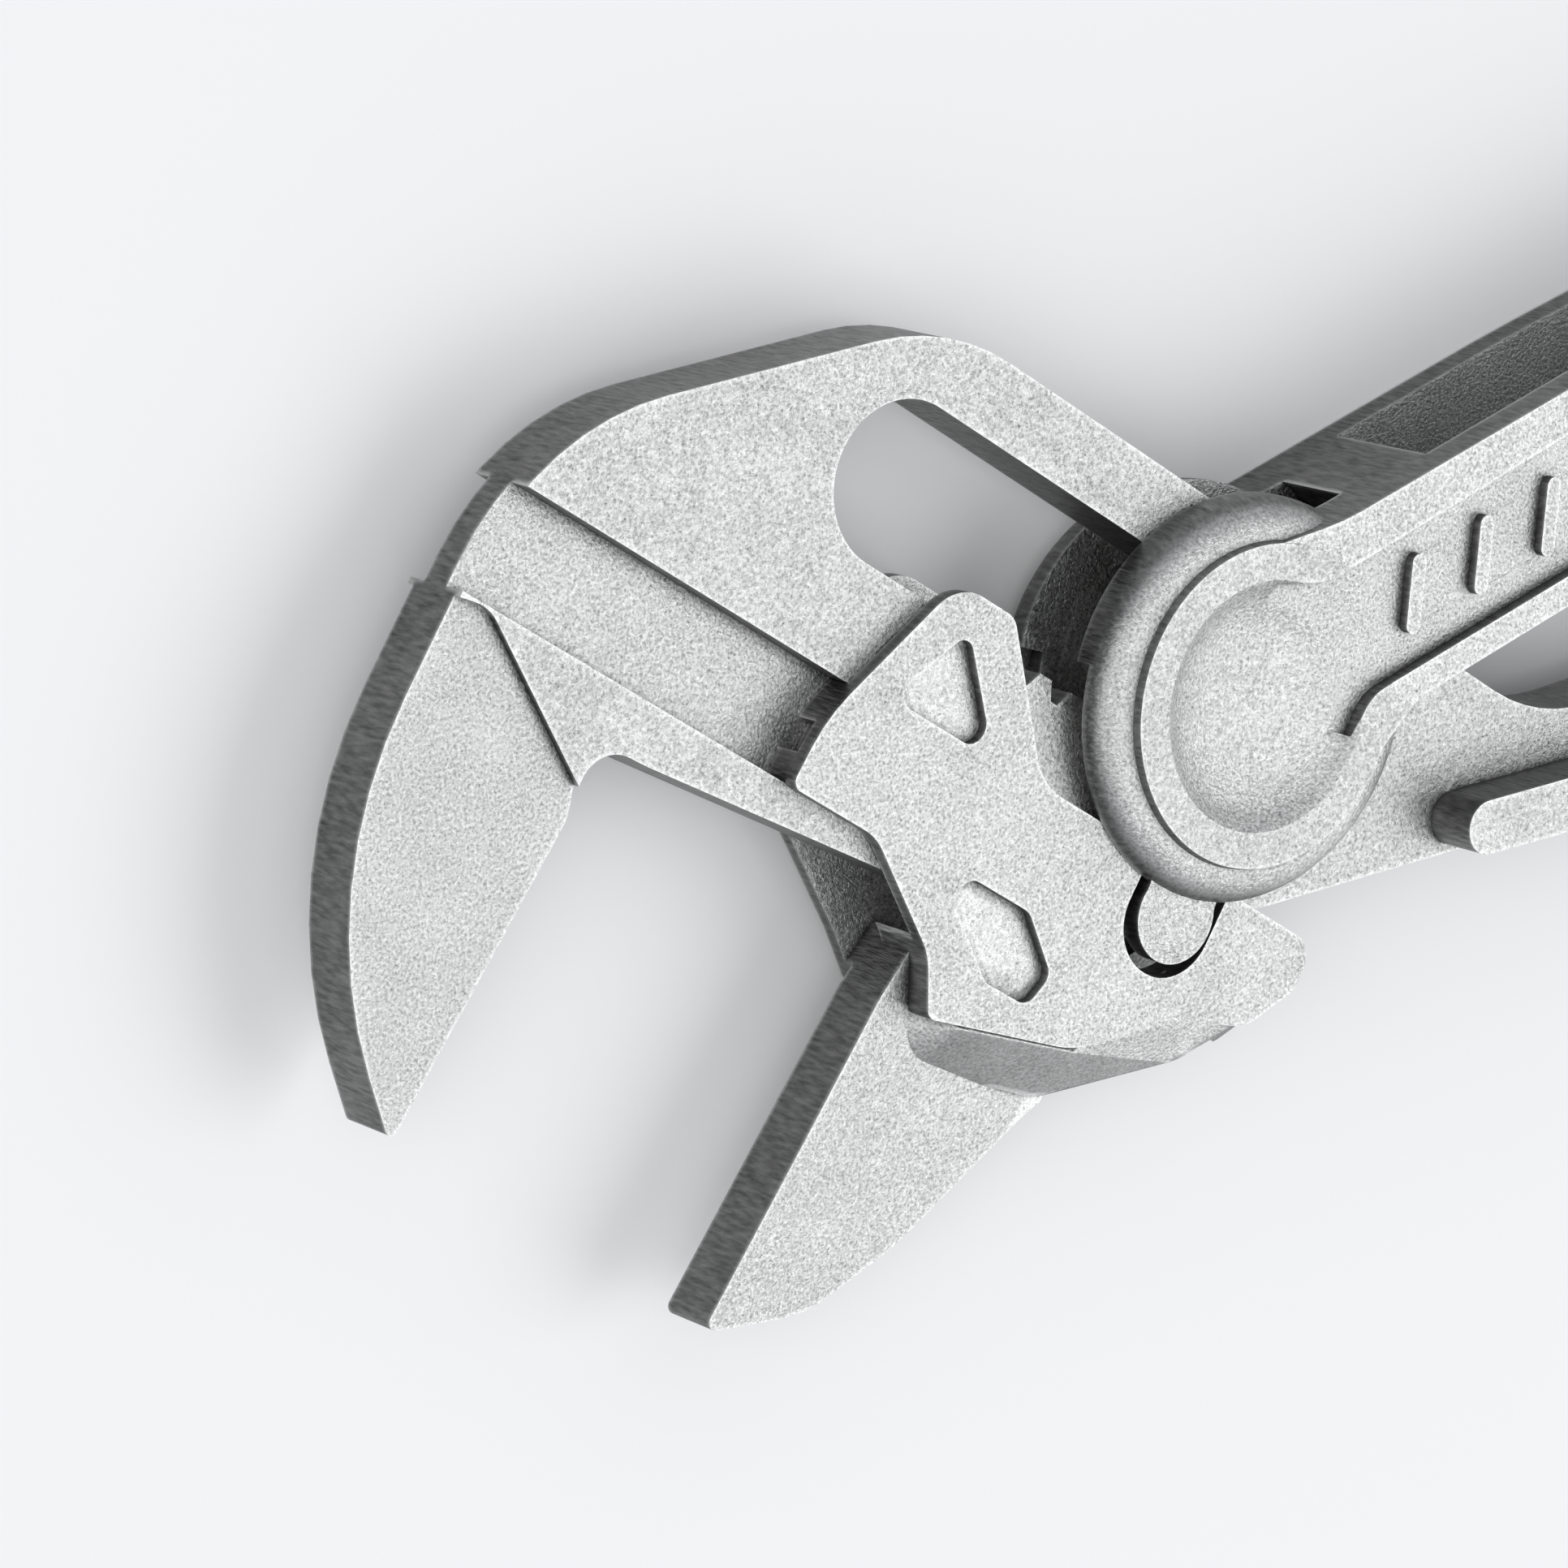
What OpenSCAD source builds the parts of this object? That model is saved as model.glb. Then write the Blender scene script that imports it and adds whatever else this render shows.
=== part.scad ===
// Small adjustable pliers wrench, all forged steel, lying on its back.
// +X runs along the handles, +Y up across the tool, +Z out of the front face.
// The origin is on the hinge axis, in the plane of the hub's rear face.

/* [Body] */
// Thickness of the forged plate that holds the head, the window and the inner handle
plate_t = 3.8; // [3.6:0.1:4.0]
// Distance from the hinge axis to the end of the inner handle
handle_reach = 54; // [50:1:58]
// Angle between the slide direction of the jaw and the inner handle
handle_angle = 38; // [36:1:40]
// Width of the raised rail along the outer edge of the inner handle
rail_w = 2.6; // [2.2:0.1:3.0]

/* [Window] */
// Height of the window that the hinge bolt travels in
window_h = 7.3; // [7.2:0.1:7.4]
// Distance from the hinge axis back to the closed end of the window
window_reach = 25; // [24:0.5:26]
// Pitch of the rack teeth on the lower rim
tooth_pitch = 2; // [1.8:0.1:2.2]
// Depth of the rack teeth
tooth_depth = 0.8; // [0.6:0.1:0.9]

/* [Hinge] */
// Radius of the lever's hub at its foot
hub_r = 9.1; // [8.9:0.1:9.2]
// Radius of the flat rim on top of the hub
rim_r = 7.2; // [7.0:0.1:7.3]
// Radius of the dish inside the rim
dish_r = 5.6; // [5.2:0.1:5.8]
// Thickness of each hub cheek
hub_cheek_t = 2.55; // [2.4:0.05:2.7]
// Radius of the bearing disc in the rear hub cheek
disc_r = 6.7; // [6.4:0.1:6.8]

/* [Lever] */
// Angle of the lever handle above the inner handle as the tool is shown
lever_rest = 12; // [11:1:14]
// Distance from the hinge axis to the centre of the toe that drives the jaw
toe_reach = 9.9; // [9.8:0.1:10.0]
// Radius of the toe
toe_r = 2.15; // [2.0:0.05:2.2]
// Number of raised grip ribs in the lever's channel
ribs = 9; // [4:1:10]

/* [Jaws] */
// Gap between the gripping faces as the tool is shown
jaw_gap = 19; // [16:0.5:20]
// Lean of both gripping faces away from square to the slide direction
jaw_lean = 3.5; // [2:0.5:4]
// Height of the sliding jaw's cheek above the plate
cheek_t = 0.8; // [0.7:0.05:0.9]
// Depth of the front guide groove
front_groove = 1.2; // [1.0:0.1:1.3]
// Depth of the rear guide groove
rear_groove = 1.0; // [0.8:0.1:1.1]

/* [Hidden] */
$fn = 96;
gap = 0.05;                                // running clearance between sliding faces
over = 1;                                  // how far a cut runs past its surface, or one solid into the next
z_back = hub_cheek_t + gap;                // rear face of the plate
z_front = z_back + plate_t;                // front face of the plate
z_slot = z_front + gap;                    // front wall of the hub's slot
z_top = z_slot + hub_cheek_t;              // front face of the hub and the rails
z_cheek = z_front + cheek_t;               // front face of the sliding jaw's cheek
z_cheek_back = z_back - cheek_t;           // rear face of the sliding jaw's cheek
groove_top = -8.4;                         // guide groove, upper edge
groove_foot = -13.4;                       // guide groove, lower edge
pad_drop = 0.4;                            // jaw faces lie this far below the plate's faces
bolt_r = window_h / 2 - 0.07;              // toothed block of the hinge bolt
toe_angle = -80.4;                         // toe direction in the slide frame
wall = 1.4;                                // side walls of the hollow lever handle
channel_depth = 0.7;                       // embossed channel in the lever's walls
arc_step = 7;                              // degrees per straight piece of a rounded corner
rack_shift = -0.9;                         // centre of the rack gullet nearest the hinge axis

// Points of a rounded outline: each corner is [x, y, radius].
function unit(v) = v / norm(v);
function turn(p, u, w, r) =
    let (half = acos(u * w) / 2, c = p + unit(u + w) * r / sin(half),
         a = p + u * r / tan(half) - c, b = p + w * r / tan(half) - c,
         start = atan2(a.y, a.x), sweep = atan2(a.x * b.y - a.y * b.x, a * b),
         n = max(1, ceil(abs(sweep) / arc_step)))
    [for (i = [0:n]) c + r * [cos(start + sweep * i / n), sin(start + sweep * i / n)]];
function rounded(c) = [for (i = [0:len(c) - 1])
    let (p = [c[i].x, c[i].y], r = c[i].z, a = c[(i + len(c) - 1) % len(c)], b = c[(i + 1) % len(c)])
    each r == 0 ? [p] : turn(p, unit([a.x, a.y] - p), unit([b.x, b.y] - p), r)];

// The slide frame has its x axis along the jaw's travel, the lever frame along the lever handle.
module slide_frame() rotate([0, 0, -handle_angle]) children();
module lever_frame() rotate([0, 0, lever_rest]) children();
module layer(z0, z1) translate([0, 0, z0]) linear_extrude(z1 - z0) children();
// Repeats a front feature on the rear, mirrored about the middle of the tool.
module both_sides() {
    children();
    translate([0, 0, z_top]) mirror([0, 0, 1]) children();
}
// Fills the inside corners of a plan with radius r.
module fillet_plan(r) offset(r = -r) offset(r = r) children();

// ---- Fixed jaw, window plate and inner handle: one forging ----
grip_x = -30.2;                            // tip of the fixed jaw's gripping face
grip_y = -34.35;
grip_top = -19.3;                          // upper end of the gripping faces
function lean_x(y) = (y - grip_y) * tan(jaw_lean);
throat = [-28, -17.55];                    // relief circle in the corner of the jaw
throat_r = 1.75;

handle_end_r = 2.1;                        // corners at the end of the inner handle
rail_inset = 0.12;                         // the rail stands just inside the handle's outer edge
function from_slide(c) = [
    c.x * cos(handle_angle) + c.y * sin(handle_angle), c.y * cos(handle_angle) - c.x * sin(handle_angle), c.z
];
head_corners = [
    [-1.06, -13.26, 3], [-27, -15.75, 0],
    [throat.x, throat.y + throat_r, 0], [throat.x - throat_r, throat.y, 0],
    [grip_x + lean_x(grip_top), grip_top, 0.4], [grip_x, grip_y, 0.3],
    [-39.1, -26.8, 18.5], [-39.1, -6.1, 13], [-22.85, 6.93, 11]
];
handle_corners = [
    [18, -5.3, 9], [32, -5, 60], [44, -4.2, 30], [handle_reach, -5, handle_end_r],
    [handle_reach, -9.4, handle_end_r], [32, -10.5, 90]
];
module body_plan() difference() {
    polygon(rounded(concat([for (c = head_corners) from_slide(c)], handle_corners)));
    slide_frame() translate(throat) circle(throat_r);
}
module rail_plan() polygon(rounded([
    [11.2, -9.88 + rail_w, 1.25], [28, -10.3 + rail_w, 60], [42, -7.2, 12], [48, -4.9, 8],
    [handle_reach - rail_inset, -5.2, handle_end_r - rail_inset],
    [handle_reach - rail_inset, -9.4 + rail_inset, handle_end_r - rail_inset],
    [32, -10.5 + rail_inset, 90], [11.2, -9.88 + rail_inset, 1.2]
]));
window_front = 6.2;                        // end of the window ahead of the hinge axis
module window_plan() hull() {
    translate([window_h / 2 - window_reach, 0]) circle(window_h / 2);
    translate([window_front - window_h / 2, 0]) circle(window_h / 2);
}
module rack_gullet() polygon([[-0.7, 0.1], [-0.2, -tooth_depth], [0.2, -tooth_depth], [0.7, 0.1]]);
module groove_plan() translate([-44, groove_foot]) square([56, groove_top - groove_foot]);
module pad_plan() polygon(rounded([
    [-44, -14.6, 0], [-37.6, -13.4, 2], [-29.7, -17.9, 0], [-28, -19, 0], [-28, -38, 0], [-44, -38, 0]
]));
module fixed_jaw_body() color("gainsboro") difference() {
    union() {
        layer(z_back, z_front) body_plan();
        layer(0, z_top) rail_plan();
    }
    slide_frame() {
        layer(z_back - over, z_front + over) window_plan();
        for (i = [-8:2]) translate([i * tooth_pitch + rack_shift, -window_h / 2])
            layer(z_back - over, z_front + over) rack_gullet();
        layer(z_front - front_groove, z_front + over) groove_plan();
        layer(z_back - over, z_back + rear_groove) groove_plan();
        layer(z_front - pad_drop, z_front + over) pad_plan();
        layer(z_back - over, z_back + pad_drop) pad_plan();
    }
}

// ---- Hinge bolt: keyed to the rack, the lever turns around its two ends ----
nose_r = 3.4;                              // front bearing end
journal_r = 3;                             // rear bearing end
nose_top = z_slot + 0.9;                   // end of the nose inside the front cheek
module toothed_hinge_bolt() color("dimgray") {
    cylinder(h = z_back + over, r = journal_r);
    slide_frame() difference() {
        translate([0, 0, z_back + gap]) cylinder(h = plate_t - 2 * gap, r = bolt_r);
        for (i = [-1:1]) translate([(i + 0.5) * tooth_pitch + rack_shift, -bolt_r])
            layer(z_back, z_front) polygon([[-0.4, -0.1], [-0.1, 0.7], [0.1, 0.7], [0.4, -0.1]]);
    }
    translate([0, 0, z_front - over]) cylinder(h = nose_top - z_front + over, r = nose_r);
}
// Disc that closes the rear cheek after the bolt is in, and carries the bolt's rear end.
module rear_bearing_disc() color("gray") difference() {
    cylinder(h = hub_cheek_t, r = disc_r);
    translate([0, 0, -over]) cylinder(h = hub_cheek_t + 2 * over, r = journal_r + gap);
}

// ---- Lever: forked hub, toe and hollow handle ----
// Both plans flare out of a round: flare(r, a) is the point at angle a, just inside radius r.
inset = 0.25;                              // how far inside the round a flare starts
hub_rise = 0.03;                           // the hub's faces stand this far above the handle's
function flare(r, a) = [(r - inset) * cos(a), (r - inset) * sin(a), 0];
module lever_plan() polygon(rounded([
    [-2, 1, 0], flare(rim_r, 80), [6.4, 6.05, 14], [24, 6.4, 90], [42, 6.2, 60], [handle_reach, 3.4, 3.2],
    [handle_reach, -3.4, 3.2], [40, -4, 60], [22, -3.1, 60], [8, -3.4, 4], flare(rim_r, -48)
]));
module channel_plan() polygon(rounded([
    [-1.5, 0.7, 0], flare(dish_r, 66), [4.9, 3.85, 3], [24, 4.5, 90], [40, 4.2, 60], [48.5, 2.2, 1.6],
    [48.5, -2, 1.6], [40, -2.5, 60], [22, -1.8, 60], [5.6, -2.1, 2.2], flare(dish_r, -40)
]));
// Hub cheek turned from its foot to the rim, with a round shoulder a little below the rim.
shoulder_r = 1.8;
rim_step = 0.4;
module hub_cheek() rotate_extrude() polygon(concat(
    [[0, z_slot], [hub_r, z_slot]],
    [for (a = [0:10:90]) [hub_r - shoulder_r, z_top - rim_step - shoulder_r] + shoulder_r * [cos(a), sin(a)]],
    [[rim_r, z_top], [0, z_top]]
));
// Undercut of the hub that the sliding jaw's cheeks pass through, apart from the toe.
undercut_r = 7.75;
module undercut_plan() difference() {
    polygon(concat([[0, 0]], [for (a = [-165:41:-42]) 20 * [cos(a), sin(a)]]));
    circle(undercut_r);
}
// The toe on its neck, which widens into a sector of the hub.
toe_fillet = 0.9;
toe_t = 1;
neck_start = 4;
neck_w = 2 * toe_r - 0.3;
module toe_plan() rotate(toe_angle) fillet_plan(toe_fillet) {
    translate([toe_reach, 0]) circle(toe_r);
    translate([neck_start, -neck_w / 2]) square([toe_reach - neck_start, neck_w]);
    intersection() {
        circle(undercut_r - 0.1);
        rotate(-38) square(12);
        rotate(-52) square(12);
    }
}
// The fork's slot: room for the plate round the hinge, and everything on the jaw side of one slanted edge.
slot_r = 10.4;
slot_edge = 7.6;
slot_slant = 49;
module slot_plan() {
    circle(slot_r);
    rotate(slot_slant) translate([-40, -40]) square([40 + slot_edge, 80]);
}
rib_w = 0.8;
rib_len = 2.8;
rib_slant = 24;
rib_pitch = 4.2;
first_rib = [9.5, 1.1];
module rib() rotate(-rib_slant) {
    square([rib_w, rib_len], center = true);
    for (y = [-rib_len / 2, rib_len / 2]) translate([0, y]) circle(rib_w / 2, $fn = 24);
}
module lever_front() rotate([0, 0, -handle_angle - lever_rest]) {
    difference() {
        hub_cheek();
        layer(z_slot - over, z_cheek + gap) undercut_plan();
    }
    layer(z_slot, z_slot + toe_t) toe_plan();
}
// The thumb dish is a bowl that is flat in the middle and steepens to the rim; the channel runs out of it.
dish_depth = 1.1;
dish_steps = 12;
module dish_and_channel() {
    layer(z_top - channel_depth, z_top + over) channel_plan();
    rotate_extrude() polygon(concat(
        [[0, z_top + over], [0, z_top - dish_depth]],
        [for (i = [3:dish_steps]) dish_r * i / dish_steps * [1, 0]
            + [0, z_top - dish_depth * (1 - pow(i / dish_steps, 4))]],
        [[dish_r, z_top + over]]
    ));
}
module hollow_plan() polygon(rounded([
    [12.6, 12, 0], [13.4, -1.9, 1.2], [22, -1.6, 60], [40, -2.4, 60],
    [handle_reach - 2, -1.8, 2], [handle_reach - 2, 12, 0]
]));
module lever_handle() color("silver") lever_frame() difference() {
    union() {
        difference() {
            union() {
                layer(hub_rise, z_top - hub_rise) lever_plan();
                both_sides() lever_front();
            }
            both_sides() dish_and_channel();
        }
        for (i = [0:ribs - 1]) translate(first_rib + [i * rib_pitch, 0])
            layer(z_top - channel_depth - 0.1, z_top - 0.2) rib();
    }
    layer(hub_cheek_t, z_slot) slot_plan();
    layer(wall, z_top - wall - 0.3) hollow_plan();
    translate([0, 0, z_slot - over]) cylinder(h = nose_top + gap - z_slot + over, r = nose_r + gap);
    translate([0, 0, -over]) cylinder(h = hub_cheek_t + 2 * over, r = disc_r);
}

// ---- Sliding jaw: two cheeks astride the plate, joined below it ----
front_edge = [[-8.4, -19.1, 0.5], [-9.9, -16.7, 3], [-15.2, -13.5, 2.5]];
rear_edge = [[-8.4, -19.1, 0], [-9.4, -18.6, 0.8], [-11.4, -17.2, 2], [-17.4, -13.7, 2]];
module cheek_plan(lower_left) polygon(rounded(concat([
    [-20.45, -13.5, 0.5], [-20.3, -10.2, 8], [-17, -2.35, 2.2], [-13.5, -2.35, 1], [-8.2, -7.9, 3],
    [-0.95, -7.9, 1], [-0.95, -12.6, 2.5], [4.15, -12.6, 2.5], [4.15, -7.6, 0.5], [10, -7.6, 1.2],
    [10.05, -9.8, 1], [8.3, -12.4, 2.5], [4.6, -13.5, 3], [-0.2, -17.1, 5]
], lower_left)));
jaw_shift = jaw_gap - 19;                  // the jaw is drawn at a gap of 19
core_x = grip_x + 19;
module core_plan() polygon(rounded([
    [core_x + lean_x(-35.3), -35.3, 0.4], [core_x + lean_x(grip_top), grip_top, 0.5], [-9.6, -15, 0],
    [5.4, -14, 0.5], [4.6, -15.8, 2], [1.2, -20, 8], [-2.9, -28.2, 12], [-6.2, -32.6, 6]
]));
// Room the plate needs between the cheeks over the whole travel of the jaw.
module plate_room_plan() polygon([[-40, -17], [-12, -16.3], [14, -14], [20, 10], [-40, 10]]);
module below_plate() difference() {
    children();
    plate_room_plan();
}
module groove_room_plan() translate([-40, groove_foot + gap])
    square([60, groove_top - groove_foot - 2 * gap]);
z_tongue = z_front - front_groove + gap;   // floor side of the front tongue
// Draft below the cheek's lower edge: [x, y, run, foot height], from the tail to the gripping side.
draft_path = [
    [9.7, -8.8, 0.9, z_tongue], [9.1, -10.6, 1.2, z_tongue], [7.8, -12.3, 1.4, z_tongue],
    [4.6, -13.6, 2.1, z_front + gap], [-0.2, -17.2, 2.5, z_front - 1.5], [-6.6, -18.8, 2.2, z_front - 1.3]
];
draft_tip = 0.02;
module draft_cone(c) translate([c[0], c[1], c[3]])
    cylinder(h = z_cheek - c[3], r1 = c[2], r2 = draft_tip, $fn = 48);
module draft() difference() {
    for (i = [0:len(draft_path) - 2]) hull() {
        draft_cone(draft_path[i]);
        draft_cone(draft_path[i + 1]);
    }
    layer(z_back, z_tongue) plate_room_plan();
    layer(z_back, z_front + gap) difference() {
        plate_room_plan();
        groove_room_plan();
    }
}
// The jaw thins away from the gripping face; this is what its front face loses.
face_tilt = 7;
module core_relief() translate([core_x + 0.6, -40, z_front - pad_drop]) rotate([0, face_tilt, 0])
    cube([30, 60, 5]);
// Guide tongue that runs in a groove; its leading end has a shallow notch.
module tongue(z0, z1) layer(z0, z1) difference() {
    intersection() {
        cheek_plan(front_edge);
        translate([-20.4, -20]) square([34, 20]);
        groove_room_plan();
    }
    translate([-21, -12]) square([1.4, 1.5]);
}
module triangle_pocket() polygon(rounded([[-17.6, -8.1, 0.7], [-15.4, -3.9, 0.6], [-11.2, -8.1, 0.8]]));
module oblong_pocket() polygon(rounded([
    [-9.8, -12.9, 0.8], [-5.8, -12.9, 1], [-3.2, -14.8, 0.7],
    [-3.7, -16.5, 0.8], [-6.4, -16.5, 0.8], [-9.9, -14.2, 0.7]
]));
pocket_depth = 0.5;
front_bridge = 2.4;                        // how far the front cheek reaches down past the plate's edge
rear_bridge = 2;                           // the same for the rear cheek
module sliding_jaw() color("lightgray") slide_frame() translate([jaw_shift, 0, 0]) {
    difference() {
        union() {
            layer(z_front + gap, z_cheek) cheek_plan(front_edge);
            tongue(z_tongue, z_front + gap);
            draft();
            layer(z_front - front_bridge, z_cheek) below_plate() cheek_plan(front_edge);
        }
        layer(z_cheek - pocket_depth, z_cheek + over) {
            triangle_pocket();
            oblong_pocket();
        }
    }
    layer(z_cheek_back, z_back - gap) cheek_plan(rear_edge);
    tongue(z_back - gap, z_back + rear_groove - gap);
    layer(z_cheek_back, z_back + rear_bridge) below_plate() intersection() {
        cheek_plan(rear_edge);
        core_plan();
    }
    difference() {
        layer(z_back + pad_drop, z_front - pad_drop) below_plate() core_plan();
        both_sides() core_relief();
    }
}

fixed_jaw_body();
toothed_hinge_bolt();
lever_handle();
rear_bearing_disc();
sliding_jaw();
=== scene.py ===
"""Small adjustable pliers wrench: the looks of the tool around its fixed frame."""

import bpy
from mathutils import Matrix, Vector

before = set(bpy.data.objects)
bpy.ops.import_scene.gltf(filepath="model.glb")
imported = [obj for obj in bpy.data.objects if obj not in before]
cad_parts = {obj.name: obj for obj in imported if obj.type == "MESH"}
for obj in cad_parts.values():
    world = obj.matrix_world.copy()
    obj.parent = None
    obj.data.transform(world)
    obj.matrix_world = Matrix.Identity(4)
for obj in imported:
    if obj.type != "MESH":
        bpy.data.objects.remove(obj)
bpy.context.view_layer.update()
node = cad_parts
MM = 0.001

# ---- Fixed jaw, window plate and inner handle ----
# One drop forging in tool steel, blasted to a fine even grain and then plated matt.
# The flat faces are painted bright. The trimmed outline is rougher, with slanted marks, and painted
# dark: partly its darker trimmed steel, partly painted shade on the side walls.


class Value:
    """A shader value that Python's operators work on; each operator adds one Math node."""

    def __init__(self, tree, socket):
        self.tree, self.socket = tree, socket

    def plug(self, slot, value):
        if isinstance(value, Value):
            self.tree.links.new(value.socket, slot)
        else:
            slot.default_value = value

    def maths(self, operation, *values, clamp=False):
        made = self.tree.nodes.new("ShaderNodeMath")
        made.operation, made.use_clamp = operation, clamp
        for slot, value in zip(made.inputs, values):
            self.plug(slot, value)
        return Value(self.tree, made.outputs[0])

    def node(self, kind, output, settings=None, **inputs):
        """Any other node: settings are its own fields, inputs its sockets by name."""
        made = self.tree.nodes.new(kind)
        for field, value in (settings or {}).items():
            setattr(made, field, value)
        for name, value in inputs.items():
            self.plug(made.inputs[name.replace("_", " ")], value)
        return Value(self.tree, made.outputs[output])

    def __add__(self, other):
        return self.maths("ADD", self, other)

    def __radd__(self, other):
        return self.maths("ADD", other, self)

    def __sub__(self, other):
        return self.maths("SUBTRACT", self, other)

    def __rsub__(self, other):
        return self.maths("SUBTRACT", other, self)

    def __mul__(self, other):
        return self.maths("MULTIPLY", self, other)

    def __abs__(self):
        return self.maths("ABSOLUTE", self)

    def clamped(self):
        return self.maths("ADD", self, 0.0, clamp=True)

    def ramp(self, low, high):
        """0 at low, 1 at high, smooth between."""
        return self.node(
            "ShaderNodeMapRange", 0, {"interpolation_type": "SMOOTHSTEP"},
            Value=self, From_Min=low, From_Max=high,
        )


def forged_steel(name, face, wall, face_rough, wall_rough, grain=1.0):
    """Blasted steel: `face` is the tone of the faces square to the hinge, `wall` that of the outline, a
    dark tone that is partly painted shade.
    """
    material = bpy.data.materials.new(name)
    material.use_nodes = True
    tree = material.node_tree
    shader = tree.nodes["Principled BSDF"]
    place = Value(tree, tree.nodes.new("ShaderNodeTexCoord").outputs["Object"])
    facing = Value(tree, place.socket.node.outputs["Normal"])
    up = abs(facing.node("ShaderNodeSeparateXYZ", 2, Vector=facing))
    flat = up.ramp(0.45, 0.95)
    # blasted grain, about 0.15 mm across, over a broader unevenness of the forging
    fine = place.node("ShaderNodeTexNoise", 0, Vector=place, Scale=6500.0, Detail=3.0, Roughness=0.7)
    broad = place.node("ShaderNodeTexNoise", 0, Vector=place, Scale=300.0, Detail=2.0)
    # trimming marks on the walls: the same noise, drawn out along a slant
    slant, stretch = (0.0, 0.7, 0.6), (1.0, 1.0, 0.22)
    turned = place.node("ShaderNodeMapping", 0, Vector=place, Rotation=slant, Scale=stretch)
    marks = place.node("ShaderNodeTexNoise", 0, Vector=turned, Scale=5000.0, Detail=2.0)
    speck = (fine - 0.5) * (2.6 * grain) + (broad - 0.5) * 0.3
    scratch = (marks - 0.5) * (1.8 * grain) + (broad - 0.5) * 0.4
    # painted shade inside corners, steps and grooves (ambient occlusion) and painted highlights along
    # the convex edges
    corner = place.node(
        "ShaderNodeAmbientOcclusion", 1, {"samples": 8, "only_local": True}, Distance=0.7 * MM
    )
    edge = place.node(
        "ShaderNodeAmbientOcclusion", 1, {"samples": 8, "inside": True, "only_local": True},
        Distance=0.3 * MM,
    )
    # painted shade in the corners and painted highlight on the edges, mixed into the colour
    shade = corner.ramp(0.25, 0.95) * 0.8 + 0.2
    glint = (1.0 - edge.ramp(0.35, 0.95)) * 0.35
    # faces take `face` and walls `wall`: the dark walls are partly painted shade, the rest their rougher
    # trimmed steel
    tone = (1.0 + speck) * flat * face + (1.0 + scratch) * (1.0 - flat) * wall
    tone = (tone * shade + glint * shade).clamped()
    tint = tone.node("ShaderNodeCombineColor", 0, Red=tone, Green=tone, Blue=tone * 0.985)
    shader.inputs["Metallic"].default_value = 1.0
    rough = flat * (face_rough - wall_rough) + wall_rough + speck * 0.12
    height = fine * flat + marks * (1.0 - flat) + broad * 0.6
    bump = height.node("ShaderNodeBump", 0, Height=height, Strength=0.8 * grain, Distance=0.1 * MM)
    for slot, value in (("Base Color", tint), ("Roughness", rough), ("Normal", bump)):
        tree.links.new(value.socket, shader.inputs[slot])
    return material


def soften(piece, width):
    """Joins the faces of a CAD node and rounds its sharp edges, as blasting does."""
    weld = piece.modifiers.new("join", "WELD")
    weld.merge_threshold = 0.001 * MM
    bevel = piece.modifiers.new("edge radius", "BEVEL")
    bevel.width, bevel.segments = width, 2
    bevel.limit_method, bevel.angle_limit = "ANGLE", 0.5
    bevel.use_clamp_overlap = True
    shading = piece.modifiers.new("even shading", "WEIGHTED_NORMAL")
    shading.keep_sharp, shading.weight = False, 100


def dress(piece, material):
    piece.data.materials.clear()
    piece.data.materials.append(material)


# the walls' dark tone is partly painted shade on the outline
plated = forged_steel(
    "plated forging", face=0.66, wall=0.16, face_rough=0.34, wall_rough=0.45
)
dress(node["fixed_jaw_body"], plated)
soften(node["fixed_jaw_body"], 0.22 * MM)

# ---- Sliding jaw ----
# A second forging with the same plating. Its two cheeks ride astride the plate,
# held by the tongues that run in the plate's grooves.
dress(node["sliding_jaw"], plated)
soften(node["sliding_jaw"], 0.2 * MM)

# ---- Lever handle ----
# Forked hub and hollow handle in one forging, plated like the body.
# It turns on the hinge bolt, and its edges are the most rounded of the tool.
dress(node["lever_handle"], plated)
soften(node["lever_handle"], 0.3 * MM)

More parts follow.
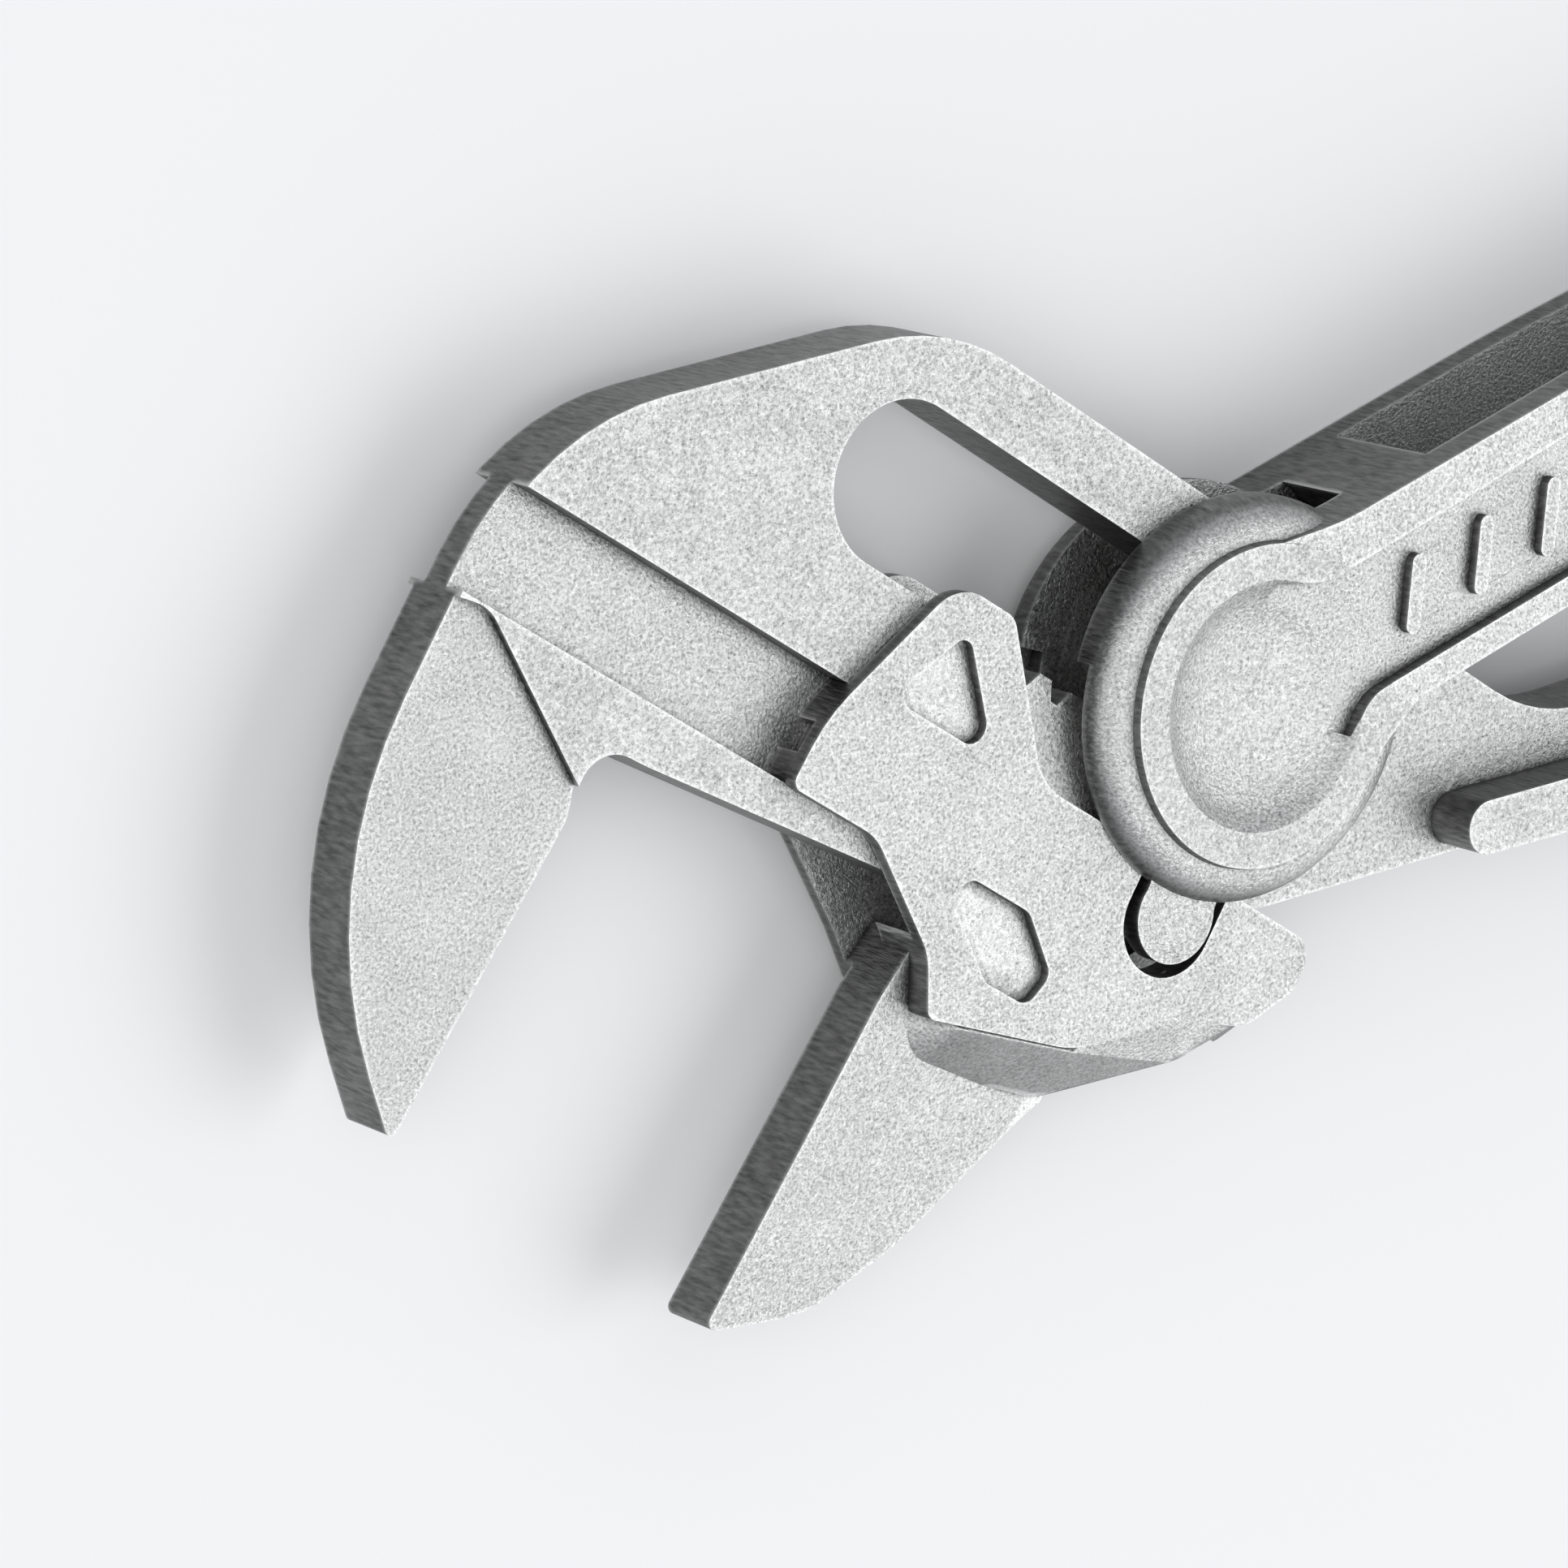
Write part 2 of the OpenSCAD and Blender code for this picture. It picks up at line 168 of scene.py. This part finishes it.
# ---- Rear bearing disc ----
# Turned steel disc, pressed into the rear cheek of the hub and flush with it.
# It closes the hole that the bolt is put in through.
dress(node["rear_bearing_disc"], plated)

# ---- Toothed hinge bolt ----
# Hardened steel left dark, with a smoother grain. It is held between the hub's two cheeks
# and sits in the rack of the window.
# its walls a little darker than its faces: partly painted shade
hardened = forged_steel(
    "hardened bolt", face=0.35, wall=0.28, face_rough=0.35, wall_rough=0.4, grain=0.5
)
dress(node["toothed_hinge_bolt"], hardened)

# ---- Floor, light and camera ----
# A pale sheet under the tool, a wide soft light beyond the handles and a second one
# on the camera's side.
bpy.ops.mesh.primitive_plane_add(size=3, location=(0, 0, -0.1 * MM))
floor = bpy.context.object
floor.name = "floor"
paper = bpy.data.materials.new("pale paper")
paper.use_nodes = True
matt = paper.node_tree.nodes["Principled BSDF"].inputs
matt["Base Color"].default_value, matt["Roughness"].default_value = (0.96, 0.96, 0.96, 1), 0.9
dress(floor, paper)

sky = bpy.data.worlds.new("room")
bpy.context.scene.world = sky
sky.use_nodes = True
glow = sky.node_tree.nodes["Background"].inputs
glow["Color"].default_value, glow["Strength"].default_value = (0.9, 0.92, 0.95, 1), 0.62


def soft_light(name, place, size, power):
    """A square lamp that looks at the tool."""
    lamp = bpy.data.objects.new(name, bpy.data.lights.new(name, "AREA"))
    lamp.data.size, lamp.data.energy = size, power
    lamp.location = place
    lamp.rotation_euler = (-Vector(place)).to_track_quat("-Z", "Y").to_euler()
    bpy.context.scene.collection.objects.link(lamp)


soft_light("key", (0.40, -0.20, 0.55), 0.55, 1.7)
soft_light("fill", (-0.5, 0.1, 0.5), 0.5, 1.3)

camera = bpy.data.objects.new("camera", bpy.data.cameras.new("camera"))
camera.data.lens, camera.data.sensor_width = 149.07, 36.0
right, up = Vector((0.80022, -0.08339, 0.59388)), Vector((0.23125, 0.95661, -0.17726))
turn = Matrix((right, up, right.cross(up))).transposed().to_4x4()
camera.matrix_world = Matrix.Translation((-0.17415, 0.0775, 0.21901)) @ turn
bpy.context.scene.collection.objects.link(camera)
bpy.context.scene.camera = camera
bpy.context.scene.view_settings.view_transform = "Standard"
